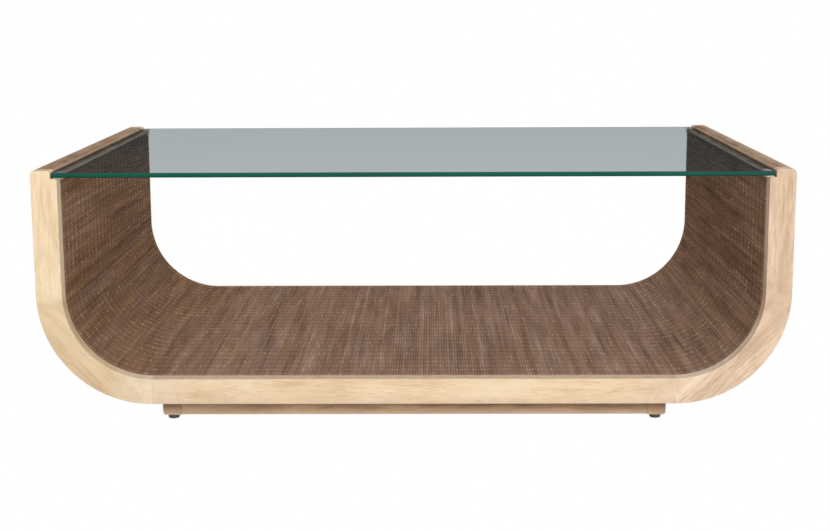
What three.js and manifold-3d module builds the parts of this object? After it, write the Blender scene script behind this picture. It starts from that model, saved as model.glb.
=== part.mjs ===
// A low table. A pale wood U frame is lined with woven cane, carries a glass top in
// rabbets along its two sides, and stands on a recessed plinth with levelling feet.
// Millimetres, +Z up, origin on the floor under the middle, the front faces -Y.

import * as THREE from 'three';
import { mergeVertices } from 'three/addons/utils/BufferGeometryUtils.js';
import Module from 'manifold-3d';

const wasm = await Module();
wasm.setup();

// The frame
const frameWidth = 1270;
const frameDepth = 838;
const frameHeight = 400; // from the underside of the bottom rail to the top of an upright
const memberThickness = 44; // of the U, seen from the front
const hoopDepth = 26; // front to back, of the front and the back hoop
const outerBendRadius = 190;

// Fits and eased edges
const glueGap = 0.3; // left at a glued, screwed or resting joint
const cutOverrun = 5; // how far a cut runs past the face that it opens
const cornerEase = 6; // top outer corner of the sides
const shoulderEase = 2; // top inner corner, above the glass
const ledgeEase = 3; // inner corner of the ledge, below the glass
const edgeEase = 1.5; // edges of the hoops' faces
const liningBackInset = 4; // the lining runs over the back hoop and ends this far before its back
const bendSteps = 20;
const easeSteps = 3;

// The glass and its rabbet
const glassThickness = 8;
const glassDrop = 4; // top of the glass below the top of the sides
const glassEndGap = 1.5;
const glassFaceInset = 1.5;
const glassEdgeEase = 1;
const shoulderWidth = 33;
const padThickness = 1.5;
const padWidth = 12;
const padLength = 38;
const padOverhang = 4; // past the inner edge of the ledge
const padFaceInset = 6;

// The lined shell between the hoops, named from the inside out
const weaveRecess = 1.5;
const weaveThickness = 2.7;
const panelThickness = 9;
const skinThickness = 6;
const ribThickness = 18;
const sideRibWidth = 60;
const bearerWidth = 60;
const bearerEndGap = 12; // from the end of a bearer to the start of the bend
const lipHeight = 11; // wood that shows between the ledge and the weave
const tongueLength = 28; // of a top rail, down between panel and skin

// Splines and dowels that join the frame
const splineWidth = 24;
const splineThickness = 8;
const splineLength = 44;
const dowelDiameter = 8;
const dowelLength = 40;
const dowelDrop = 22; // dowel axis below the top of the sides
const dowelInset = 17; // dowel axis from the outer face
const roundSteps = 16;

// The plinth
const plinthBendGap = 7; // from the start of the bends to the plinth's ends
const plinthSetback = 60;
const plinthEndHeight = 36;
const plinthEndThickness = 32;
const plinthRailHeight = 35;
const plinthRailThickness = 22;
const plinthRailInset = 0.8; // long rail's face behind the ends of the end rails
const plinthEdgeRadius = 6;
const cornerBlockLeg = 62;
const cornerBlockNose = 12; // flat left at each tip of a block
const cornerBlockHeight = 28;

// Screws that hold the plinth
const screwInset = 20; // screw axis from the two plinth rails
const screwDiameter = 4.5;
const screwHeadDiameter = 9;
const screwHeadHeight = 3;
const screwTipHeight = 5;
const screwHeadSink = 6; // head above the underside of its block
const screwGrip = 20; // length in the bearer

// Levelling feet and the threaded inserts that carry them
const footHeight = 9; // from the floor to the underside of the end rails
const footDiameter = 20;
const footToeDiameter = 16;
const footToeHeight = 2.5;
const footCrownHeight = 1;
const studDiameter = 8;
const footTravel = 10; // how far a foot screws out
const studEngagement = 16; // thread left in the insert with the foot screwed out
const insertDiameter = 12;
const insertLength = 16;
const flangeDiameter = 17;
const flangeThickness = 1.2;
const footEndInset = 16; // foot axis from the outer face of the end rail
const footFaceInset = 18; // foot axis from the front or back end of the end rail

// Places worked out from the sizes
const frameBase = footHeight + plinthEndHeight;
const frameTop = frameBase + frameHeight;
const studLength = footTravel + studEngagement; // above the underside of the end rail
const halfWidth = frameWidth / 2;
const halfDepth = frameDepth / 2;
const bendCentreX = halfWidth - outerBendRadius;
const bendCentreZ = frameBase + outerBendRadius;
const innerHalfWidth = halfWidth - memberThickness;
const hoopBack = halfDepth - hoopDepth; // |Y| of the hoops' inward faces
const rabbetWall = halfWidth - shoulderWidth;
const glassTopZ = frameTop - glassDrop;
const glassBottomZ = glassTopZ - glassThickness;
const ledgeZ = glassBottomZ - glueGap - padThickness;
const panelTopZ = ledgeZ - lipHeight;
const tongueBottomZ = panelTopZ - tongueLength;
const weaveFace = memberThickness - weaveRecess; // depths below the outer face
const panelFace = weaveFace - weaveThickness - glueGap;
const coreInner = panelFace - panelThickness - glueGap;
const coreOuter = skinThickness + glueGap;
const shellEnd = hoopBack - glueGap;
const liningBack = halfDepth - liningBackInset;
const plinthHalfLength = bendCentreX - plinthBendGap;
const plinthFrontY = halfDepth - plinthSetback;
const plinthInnerX = plinthHalfLength - plinthEndThickness;
const plinthInnerY = plinthFrontY - plinthRailInset - plinthRailThickness;
const screwX = plinthInnerX - glueGap - screwInset;
const screwY = plinthInnerY - glueGap - screwInset;

// Materials
const wood = (color) => new THREE.MeshStandardMaterial({ color, roughness: 0.62, metalness: 0 });
const paleWood = () => wood(0xe2c6a0);
const topWood = () => wood(0xb08d6c);
const plinthWood = () => wood(0xa08664);
const plywood = () => wood(0xb9966a);
const dowelWood = () => wood(0xcaa877);
const cane = () => new THREE.MeshStandardMaterial({ color: 0x6f5545, roughness: 0.8, metalness: 0 });
const steel = () => new THREE.MeshStandardMaterial({ color: 0x9a9a98, roughness: 0.35, metalness: 1 });
const rubber = () => new THREE.MeshStandardMaterial({ color: 0x2f2c2b, roughness: 0.6, metalness: 0 });
const padRubber = () => new THREE.MeshStandardMaterial({ color: 0xd8d2bf, roughness: 0.5, metalness: 0 });
const glass = () => new THREE.MeshStandardMaterial({
  color: 0x8fb0a6, roughness: 0.05, metalness: 0, transparent: true, opacity: 0.45,
});

const table = new THREE.Group();

function addPart(name, geometry, material) {
  const mesh = new THREE.Mesh(geometry, material);
  mesh.name = name;
  table.add(mesh);
}

// Solids for the boolean cuts

function solidFrom(geometry) {
  const bare = geometry.clone();
  bare.deleteAttribute('normal');
  bare.deleteAttribute('uv');
  const merged = mergeVertices(bare);
  return new wasm.Manifold(new wasm.Mesh({
    numProp: 3,
    vertProperties: new Float32Array(merged.attributes.position.array),
    triVerts: new Uint32Array(merged.index.array),
  }));
}

function geometryFrom(solid) {
  const mesh = solid.getMesh();
  const geometry = new THREE.BufferGeometry();
  geometry.setAttribute('position', new THREE.BufferAttribute(new Float32Array(mesh.vertProperties), 3));
  geometry.setIndex(new THREE.BufferAttribute(new Uint32Array(mesh.triVerts), 1));
  geometry.computeVertexNormals();
  return geometry;
}

function cut(geometry, tools) {
  return geometryFrom(tools.reduce((solid, tool) => solid.subtract(solidFrom(tool)), solidFrom(geometry)));
}

// Simple shapes

function box(low, high) {
  const geometry = new THREE.BoxGeometry(high[0] - low[0], high[1] - low[1], high[2] - low[2]);
  return geometry.translate((low[0] + high[0]) / 2, (low[1] + high[1]) / 2, (low[2] + high[2]) / 2);
}

function arc(centreX, centreY, radius, from, to, steps) {
  const points = [];
  for (let step = 0; step <= steps; step += 1) {
    const angle = from + ((to - from) * step) / steps;
    points.push(new THREE.Vector2(centreX + radius * Math.cos(angle), centreY + radius * Math.sin(angle)));
  }
  return points;
}

// An outline drawn on X and Z, pulled between two depths with its face edges eased
function prism(outline, frontY, backY, ease = 0) {
  const geometry = new THREE.ExtrudeGeometry(new THREE.Shape(outline), {
    depth: backY - frontY - 2 * ease,
    steps: 1,
    bevelEnabled: ease > 0,
    bevelThickness: ease,
    bevelSize: ease,
    bevelOffset: -ease,
    bevelSegments: 2,
  });
  return geometry.rotateX(Math.PI / 2).translate(0, backY - ease, 0);
}

// A round piece on a vertical axis through x, y, from points of radius and height
function turned(profile, x, y) {
  const points = profile.map(([radius, height]) => new THREE.Vector2(radius, height));
  return new THREE.LatheGeometry(points, roundSteps).rotateX(Math.PI / 2).translate(x, y, 0);
}

function bore(x, y, diameter, lowZ, highZ) {
  const geometry = new THREE.CylinderGeometry(diameter / 2, diameter / 2, highZ - lowZ, roundSteps);
  return geometry.rotateX(Math.PI / 2).translate(x, y, (lowZ + highZ) / 2);
}

const mirrored = (points) => points.map((point) => new THREE.Vector2(-point.x, point.y)).reverse();

// Outlines of the U

const rightBend = (depthBelow, from, to) => (
  arc(bendCentreX, bendCentreZ, outerBendRadius - depthBelow, from, to, bendSteps)
);

// The U between two depths below its outer face, ending square at a height
function bandOutline(outerDepth, innerDepth, topZ) {
  const right = [
    ...rightBend(outerDepth, -Math.PI / 2, 0),
    new THREE.Vector2(halfWidth - outerDepth, topZ),
    new THREE.Vector2(halfWidth - innerDepth, topZ),
    ...rightBend(innerDepth, 0, -Math.PI / 2),
  ];
  return [...right, ...mirrored(right)];
}

// Top of the right side from its outer face to its inner face: shoulder, rabbet, ledge
const sideTop = [
  ...arc(halfWidth - cornerEase, frameTop - cornerEase, cornerEase, 0, Math.PI / 2, easeSteps),
  ...arc(rabbetWall + shoulderEase, frameTop - shoulderEase, shoulderEase, Math.PI / 2, Math.PI, easeSteps),
  new THREE.Vector2(rabbetWall, ledgeZ),
  ...arc(innerHalfWidth + ledgeEase, ledgeZ - ledgeEase, ledgeEase, Math.PI / 2, Math.PI, easeSteps),
];

function hoopOutline() {
  const right = [
    ...rightBend(0, -Math.PI / 2, 0),
    ...sideTop,
    ...rightBend(memberThickness, 0, -Math.PI / 2),
  ];
  return [...right, ...mirrored(right)];
}

// Splines across the hoop's four glue joints, and dowels into the top rails

function looseTenon(width, thickness, length) {
  const radius = thickness / 2;
  const reach = width / 2 - radius;
  const outline = [
    ...arc(reach, 0, radius, -Math.PI / 2, Math.PI / 2, roundSteps / 2),
    ...arc(-reach, 0, radius, Math.PI / 2, (3 * Math.PI) / 2, roundSteps / 2),
  ];
  const geometry = new THREE.ExtrudeGeometry(new THREE.Shape(outline), { depth: length, bevelEnabled: false });
  return geometry.translate(0, 0, -length / 2);
}

function uprightSpline(side, hoopY, clearance) {
  const geometry = looseTenon(splineWidth + clearance, splineThickness + clearance, splineLength + clearance);
  return geometry.translate(side * (halfWidth - memberThickness / 2), hoopY, bendCentreZ);
}

function railSpline(side, hoopY, clearance) {
  const geometry = looseTenon(splineWidth + clearance, splineThickness + clearance, splineLength + clearance);
  return geometry.rotateY(Math.PI / 2).translate(side * bendCentreX, hoopY, frameBase + memberThickness / 2);
}

// The dowel leaves the hoop's inward face at faceY, half of it on each side
function topRailDowel(side, faceY, clearance) {
  const radius = (dowelDiameter + clearance) / 2;
  const geometry = new THREE.CylinderGeometry(radius, radius, dowelLength + clearance, roundSteps);
  return geometry.translate(side * (halfWidth - dowelInset), faceY, frameTop - dowelDrop);
}

const slotClearance = 2 * glueGap;
const sides = [['left', -1], ['right', 1]];
const ends = [['front', -1], ['back', 1]];
const corners = ends.flatMap(([end, endSign]) => (
  sides.map(([side, sideSign]) => ({ name: `${end}_${side}`, side: sideSign, end: endSign }))
));

// One hoop: two uprights, two corner blocks and a bottom rail. The back one is rebated
// inside the U, where the lining runs over it, and keeps a lip behind the lining's end

function addHoop(end, endSign) {
  const frontY = endSign < 0 ? -halfDepth : hoopBack;
  const hoopY = frontY + hoopDepth / 2;
  const faceY = endSign * hoopBack;
  const whole = solidFrom(prism(hoopOutline(), frontY, frontY + hoopDepth, edgeEase));
  const lowY = frontY - cutOverrun;
  const highY = frontY + hoopDepth + cutOverrun;
  const seatTopZ = panelTopZ + glueGap;
  const seatOutline = bandOutline(panelFace, memberThickness + cutOverrun, seatTopZ);
  const liningSeat = prism(seatOutline, hoopBack - cutOverrun, liningBack + glueGap);
  const seats = endSign > 0 ? [liningSeat] : [];
  const keep = (low, high, slots) => geometryFrom([...seats, ...slots].reduce(
    (solid, slot) => solid.subtract(solidFrom(slot)),
    whole.intersect(solidFrom(box([low[0], lowY, low[1]], [high[0], highY, high[1]]))),
  ));
  const halfGap = glueGap / 2;
  const outX = halfWidth + cutOverrun;
  const cornerX = bendCentreX + halfGap;
  const railX = bendCentreX - halfGap;
  for (const [side, sign] of sides) {
    const uprightLow = [Math.min(sign * cornerX, sign * outX), bendCentreZ + halfGap];
    const uprightHigh = [Math.max(sign * cornerX, sign * outX), frameTop + cutOverrun];
    const upright = keep(uprightLow, uprightHigh, [
      uprightSpline(sign, hoopY, slotClearance),
      topRailDowel(sign, faceY, slotClearance),
    ]);
    addPart(`${end}_${side}_upright`, upright, paleWood());
    const cornerLow = [uprightLow[0], frameBase - cutOverrun];
    const cornerHigh = [uprightHigh[0], bendCentreZ - halfGap];
    const corner = keep(cornerLow, cornerHigh, [
      uprightSpline(sign, hoopY, slotClearance),
      railSpline(sign, hoopY, slotClearance),
    ]);
    addPart(`${end}_${side}_corner`, corner, paleWood());
    addPart(`${end}_${side}_upright_spline`, uprightSpline(sign, hoopY, 0), dowelWood());
    addPart(`${end}_${side}_rail_spline`, railSpline(sign, hoopY, 0), dowelWood());
    addPart(`${end}_${side}_top_dowel`, topRailDowel(sign, faceY, 0), dowelWood());
  }
  const rail = keep([-railX, frameBase - cutOverrun], [railX, bendCentreZ], [
    railSpline(-1, hoopY, slotClearance),
    railSpline(1, hoopY, slotClearance),
  ]);
  addPart(`${end}_bottom_rail`, rail, paleWood());
}

// A top rail: the shoulder, ledge and lip that show, and a tongue inside the shell

function topRailGeometry(sign) {
  const section = [
    ...sideTop,
    new THREE.Vector2(innerHalfWidth, panelTopZ + glueGap),
    new THREE.Vector2(halfWidth - coreInner, panelTopZ + glueGap),
    new THREE.Vector2(halfWidth - coreInner, tongueBottomZ),
    new THREE.Vector2(halfWidth - coreOuter, tongueBottomZ),
    new THREE.Vector2(halfWidth - coreOuter, panelTopZ + glueGap),
    new THREE.Vector2(halfWidth, panelTopZ + glueGap),
  ];
  const outline = sign > 0 ? section : mirrored(section);
  return cut(prism(outline, -shellEnd, shellEnd), [
    topRailDowel(sign, -hoopBack, slotClearance),
    topRailDowel(sign, hoopBack, slotClearance),
  ]);
}

function addShell() {
  for (const [side, sign] of sides) addPart(`${side}_top_rail`, topRailGeometry(sign), topWood());

  const lining = bandOutline(panelFace + glueGap, weaveFace, panelTopZ);
  addPart('woven_lining', prism(lining, -shellEnd, liningBack), cane());
  const panel = bandOutline(coreInner + glueGap, panelFace, panelTopZ);
  addPart('lining_panel', prism(panel, -shellEnd, shellEnd), plywood());
  const skin = bandOutline(0, skinThickness, panelTopZ);
  const screwHoles = corners.map(({ side, end }) => bore(
    side * screwX, end * screwY, screwDiameter + slotClearance,
    frameBase - cutOverrun, frameBase + skinThickness + cutOverrun,
  ));
  addPart('outer_skin', cut(prism(skin, -shellEnd, shellEnd), screwHoles), paleWood());

  const coreTopZ = tongueBottomZ - glueGap;
  for (const [end, sign] of ends) {
    const nearY = sign < 0 ? -shellEnd : shellEnd - ribThickness;
    const rib = bandOutline(coreOuter, coreInner, coreTopZ);
    addPart(`${end}_rib`, prism(rib, nearY, nearY + ribThickness), plywood());
  }
  for (const [side, sign] of sides) {
    const nearX = halfWidth - coreInner;
    const farX = halfWidth - coreOuter;
    const lowX = sign > 0 ? nearX : -farX;
    const highX = sign > 0 ? farX : -nearX;
    const rib = box([lowX, -sideRibWidth / 2, bendCentreZ], [highX, sideRibWidth / 2, coreTopZ]);
    addPart(`${side}_side_rib`, rib, plywood());
  }
  const bearerX = bendCentreX - bearerEndGap;
  for (const [place, middleY] of [['front', -screwY], ['middle', 0], ['back', screwY]]) {
    const bearer = box(
      [-bearerX, middleY - bearerWidth / 2, frameBase + coreOuter],
      [bearerX, middleY + bearerWidth / 2, frameBase + coreInner],
    );
    const holes = corners.filter(({ end }) => Math.sign(middleY) === end).map(({ side }) => bore(
      side * screwX, middleY, screwDiameter + slotClearance,
      frameBase, frameBase + skinThickness + screwGrip + slotClearance,
    ));
    addPart(`${place}_floor_bearer`, holes.length ? cut(bearer, holes) : bearer, plywood());
  }
}

// The glass lies on four soft pads, clear of the rabbet's walls

function addGlass() {
  const halfLength = rabbetWall - glassEndGap;
  const halfGlassDepth = halfDepth - glassFaceInset;
  const outline = [
    new THREE.Vector2(-halfLength, -halfGlassDepth),
    new THREE.Vector2(halfLength, -halfGlassDepth),
    new THREE.Vector2(halfLength, halfGlassDepth),
    new THREE.Vector2(-halfLength, halfGlassDepth),
  ];
  const sheet = new THREE.ExtrudeGeometry(new THREE.Shape(outline), {
    depth: glassThickness - 2 * glassEdgeEase,
    bevelThickness: glassEdgeEase,
    bevelSize: glassEdgeEase,
    bevelOffset: -glassEdgeEase,
    bevelSegments: 1,
  });
  addPart('glass_top', sheet.translate(0, 0, glassBottomZ + glassEdgeEase), glass());

  for (const { name, side, end } of corners) {
    const innerX = innerHalfWidth - padOverhang;
    const outerY = halfDepth - padFaceInset;
    const xs = [side * innerX, side * (innerX + padWidth)].sort((a, b) => a - b);
    const ys = [end * outerY, end * (outerY - padLength)].sort((a, b) => a - b);
    const pad = box([xs[0], ys[0], ledgeZ], [xs[1], ys[1], ledgeZ + padThickness]);
    addPart(`${name}_glass_pad`, pad, padRubber());
  }
}

// The plinth: end rails that carry the feet, long rails between them, corner blocks

function endRailGeometry(sign) {
  const outerX = plinthHalfLength;
  const section = [
    new THREE.Vector2(plinthInnerX, footHeight),
    ...arc(outerX - plinthEdgeRadius, footHeight + plinthEdgeRadius, plinthEdgeRadius,
      -Math.PI / 2, 0, easeSteps + 1),
    new THREE.Vector2(outerX, frameBase),
    new THREE.Vector2(plinthInnerX, frameBase),
  ];
  const outline = sign > 0 ? section : mirrored(section);
  const footHoleTop = footHeight + studLength + slotClearance;
  const holes = ends.flatMap(([, end]) => {
    const [x, y] = footPlace(sign, end);
    return [
      bore(x, y, insertDiameter + slotClearance, footHeight - cutOverrun, footHeight + insertLength + glueGap),
      bore(x, y, studDiameter + slotClearance, footHeight, footHoleTop),
    ];
  });
  return cut(prism(outline, -plinthFrontY, plinthFrontY), holes);
}

function footPlace(side, end) {
  return [side * (plinthHalfLength - footEndInset), end * (plinthFrontY - footFaceInset)];
}

function cornerBlockGeometry(side, end) {
  const x = (reach) => side * (plinthInnerX - glueGap - reach);
  const y = (reach) => end * (plinthInnerY - glueGap - reach);
  const outline = [
    new THREE.Vector2(x(0), y(0)),
    new THREE.Vector2(x(cornerBlockLeg), y(0)),
    new THREE.Vector2(x(cornerBlockLeg), y(cornerBlockNose)),
    new THREE.Vector2(x(cornerBlockNose), y(cornerBlockLeg)),
    new THREE.Vector2(x(0), y(cornerBlockLeg)),
  ];
  const geometry = new THREE.ExtrudeGeometry(new THREE.Shape(outline), {
    depth: cornerBlockHeight, bevelEnabled: false,
  });
  const lowZ = frameBase - cornerBlockHeight;
  const headSeat = lowZ + screwHeadSink;
  return cut(geometry.translate(0, 0, lowZ), [
    bore(side * screwX, end * screwY, screwDiameter + slotClearance, lowZ, frameBase + cutOverrun),
    bore(side * screwX, end * screwY, screwHeadDiameter + slotClearance,
      lowZ - cutOverrun, headSeat + screwHeadHeight + glueGap),
  ]);
}

function screwGeometry(side, end) {
  const headZ = frameBase - cornerBlockHeight + screwHeadSink;
  const tipZ = frameBase + skinThickness + screwGrip;
  return turned([
    [0, headZ],
    [screwHeadDiameter / 2, headZ],
    [screwDiameter / 2, headZ + screwHeadHeight],
    [screwDiameter / 2, tipZ - screwTipHeight],
    [0, tipZ],
  ], side * screwX, end * screwY);
}

function addPlinth() {
  for (const [side, sign] of sides) addPart(`plinth_${side}_rail`, endRailGeometry(sign), plinthWood());
  for (const [end, sign] of ends) {
    const ys = [sign * plinthInnerY, sign * (plinthInnerY + plinthRailThickness)].sort((a, b) => a - b);
    const railX = plinthInnerX - glueGap;
    const rail = box([-railX, ys[0], frameBase - plinthRailHeight], [railX, ys[1], frameBase]);
    addPart(`plinth_${end}_rail`, rail, plinthWood());
  }
  for (const { name, side, end } of corners) {
    addPart(`${name}_corner_block`, cornerBlockGeometry(side, end), plywood());
    addPart(`${name}_plinth_screw`, screwGeometry(side, end), steel());
  }
}

// Levelling feet: a pad on a stud that screws up into an insert in the end rail

function insertGeometry(x, y) {
  const innerRadius = studDiameter / 2 + glueGap;
  return turned([
    [innerRadius, footHeight - flangeThickness],
    [flangeDiameter / 2, footHeight - flangeThickness],
    [flangeDiameter / 2, footHeight],
    [insertDiameter / 2, footHeight],
    [insertDiameter / 2, footHeight + insertLength],
    [innerRadius, footHeight + insertLength],
    [innerRadius, footHeight - flangeThickness],
  ], x, y);
}

function footGeometry(x, y) {
  const padTop = footHeight - flangeThickness - glueGap;
  return turned([
    [0, 0],
    [footToeDiameter / 2, 0],
    [footDiameter / 2, footToeHeight],
    [footDiameter / 2, padTop - footCrownHeight],
    [footDiameter / 2 - footCrownHeight, padTop],
    [studDiameter / 2, padTop],
    [studDiameter / 2, footHeight + studLength],
    [0, footHeight + studLength],
  ], x, y);
}

function addFeet() {
  for (const { name, side, end } of corners) {
    const [x, y] = footPlace(side, end);
    addPart(`${name}_insert`, insertGeometry(x, y), steel());
    addPart(`${name}_foot`, footGeometry(x, y), rubber());
  }
}

for (const [end, sign] of ends) addHoop(end, sign);
addShell();
addGlass();
addPlinth();
addFeet();

export default table;
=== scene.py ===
"""The looks of a low table: a pale oak U frame lined with woven cane, a clear glass top
in rabbets along its sides, and a recessed plinth on levelling feet.
Metres, +Z up, origin on the floor under the middle, the front faces -Y."""

import math

import bmesh
import bpy
import numpy as np
from mathutils import Euler, Matrix, Vector


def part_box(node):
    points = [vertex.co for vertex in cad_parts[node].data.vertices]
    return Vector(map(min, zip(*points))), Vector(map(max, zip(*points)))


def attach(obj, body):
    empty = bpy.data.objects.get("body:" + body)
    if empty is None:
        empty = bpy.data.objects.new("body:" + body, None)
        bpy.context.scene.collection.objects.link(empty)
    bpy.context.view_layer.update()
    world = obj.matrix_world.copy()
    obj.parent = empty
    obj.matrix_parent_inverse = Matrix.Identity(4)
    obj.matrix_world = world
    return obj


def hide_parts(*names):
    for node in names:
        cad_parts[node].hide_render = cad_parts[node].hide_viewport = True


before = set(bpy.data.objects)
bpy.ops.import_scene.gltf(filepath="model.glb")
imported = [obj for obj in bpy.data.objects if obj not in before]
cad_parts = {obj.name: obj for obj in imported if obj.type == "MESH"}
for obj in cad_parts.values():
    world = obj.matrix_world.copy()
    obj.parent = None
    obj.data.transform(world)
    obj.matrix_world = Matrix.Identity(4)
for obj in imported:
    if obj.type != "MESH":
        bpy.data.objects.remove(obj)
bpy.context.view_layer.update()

# Gaps that the solids leave where pieces are glued or seated
SOLID_GAP = 0.0003
GLASS_END_GAP = 0.0015

# Sizes read from the frame
HALF_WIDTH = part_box("front_right_upright")[1].x
HALF_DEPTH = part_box("back_right_upright")[1].y
FRAME_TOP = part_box("front_right_upright")[1].z
FRAME_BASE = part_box("front_bottom_rail")[0].z
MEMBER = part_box("front_bottom_rail")[1].z - FRAME_BASE
HOOP_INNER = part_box("back_right_upright")[0].y
SHELL_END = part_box("outer_skin")[1].y
PANEL_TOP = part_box("outer_skin")[1].z
GLASS_LOW, GLASS_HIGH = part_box("glass_top")
RABBET_WALL = GLASS_HIGH.x + GLASS_END_GAP
LEDGE_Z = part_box("front_left_glass_pad")[0].z
BEND_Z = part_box("front_right_corner")[1].z + SOLID_GAP / 2
BEND_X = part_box("front_bottom_rail")[1].x + SOLID_GAP / 2
BEND_RADIUS = HALF_WIDTH - BEND_X
INNER_HALF = HALF_WIDTH - MEMBER
LINING_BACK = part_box("woven_lining")[1].y
LIP_FRONT = LINING_BACK + SOLID_GAP
LINING_LENGTH = SHELL_END + LINING_BACK
WEAVE_BACK_DEPTH = HALF_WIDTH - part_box("woven_lining")[1].x
SEAT_DEPTH = WEAVE_BACK_DEPTH - SOLID_GAP

# Edges and gaps of the wood, as drawn here
GLUE_GAP = 0.00002
CORNER_EASE = {"left": 0.0055, "right": 0.0085}
SHOULDER_EASE = 0.0038
LEDGE_EASE = 0.0032
FRONT_ARRIS = 0.0012
SEATED_ARRIS = 0.0008
JOINT_ARRIS = 0.00005
SEAT_SLOPE = 0.0002
SKIN_THICKNESS = 0.006
TONGUE_INSET = 0.0142
BEND_STEPS = 48
EASE_STEPS = 5

# The weave
STRAND_PITCH = 0.0047
WEFT_PITCH = 0.03
WEFTS = round(LINING_LENGTH / WEFT_PITCH)
WEFT_STEP = LINING_LENGTH / WEFTS
WEFT_HALF_WIDTH = 0.0012
WEAVE_DEPTH = 0.0425
WEAVE_RELIEF = 0.0011
CROWN_LEVELS = np.array([0.9, 0.82, 0.95, 1.0, 0.95, 0.82])
BOUND_EDGE_LEVEL = 0.34
STRAND_WANDER = 0.00024
WANDER_LIMIT = 0.16
WEFT_WANDER = 0.0035
WEFT_SHIFT = 0.0012
RAGGED_END = 0.0006
WEAVE_SEED = 7

# The glass, its pads, the plinth and the feet
GLASS_CHAMFER = 0.0009
GLASS_CORNER = 0.002
PAD_EASE = 0.0006
PLINTH_CORNER = 0.006
PLINTH_ARRIS = 0.0004
PLINTH_JOINT_ARRIS = 0.0001
PLINTH_JOINT_CLOSING = 0.00013
STUD_RADIUS = 0.004
THREAD_PITCH = 0.00125
THREAD_DEPTH = 0.0004
TURNED_STEPS = 40

# The camera, fitted to the photograph's straight edges
CAMERA_PLACE = (0.0328, -2.9036, 0.7341)
CAMERA_YAW, CAMERA_PITCH, CAMERA_ROLL = -0.0117, 0.1791, 0.0044
CAMERA_LENS = 65.485

SIDES = (("left", -1), ("right", 1))
ENDS = (("front", -1), ("back", 1))
CORNERS = [(end, toward, side, sign) for end, toward in ENDS for side, sign in SIDES]


def srgb(red, green, blue):
    """A colour given in the 0 to 255 steps of a screen, as linear light with alpha."""
    def linear(step):
        share = step / 255
        return share / 12.92 if share <= 0.04045 else ((share + 0.055) / 1.055) ** 2.4
    return (linear(red), linear(green), linear(blue), 1.0)


# Colours of the oak

def palette(dark, middle, light):
    return dict(dark=srgb(*dark), middle=srgb(*middle), light=srgb(*light))


END_GRAIN = srgb(196, 168, 138)
CREAM = palette((214, 182, 143), (241, 216, 179), (249, 230, 201))
HONEY = palette((206, 172, 132), (232, 205, 169), (242, 221, 190))
AMBER = palette((194, 162, 124), (219, 192, 154), (234, 210, 175))
ROSE = palette((199, 168, 140), (228, 201, 173), (243, 220, 195))
BLUSH = palette((190, 158, 131), (219, 190, 162), (236, 212, 187))
CLAY = palette((178, 146, 119), (210, 179, 151), (224, 197, 171))
CHALK = palette((208, 183, 156), (234, 213, 188), (246, 229, 207))
DUSK = palette((190, 160, 138), (212, 183, 160), (224, 197, 175))
# The top rails' palette is darker than the oak of the fronts, as painted shade on their upward faces
SHADED_TAN = palette((132, 100, 74), (171, 140, 113), (198, 168, 141))
UMBER = palette((132, 104, 78), (170, 141, 112), (196, 170, 142))
UMBER["end_colour"] = srgb(168, 139, 110)


# Materials

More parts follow.
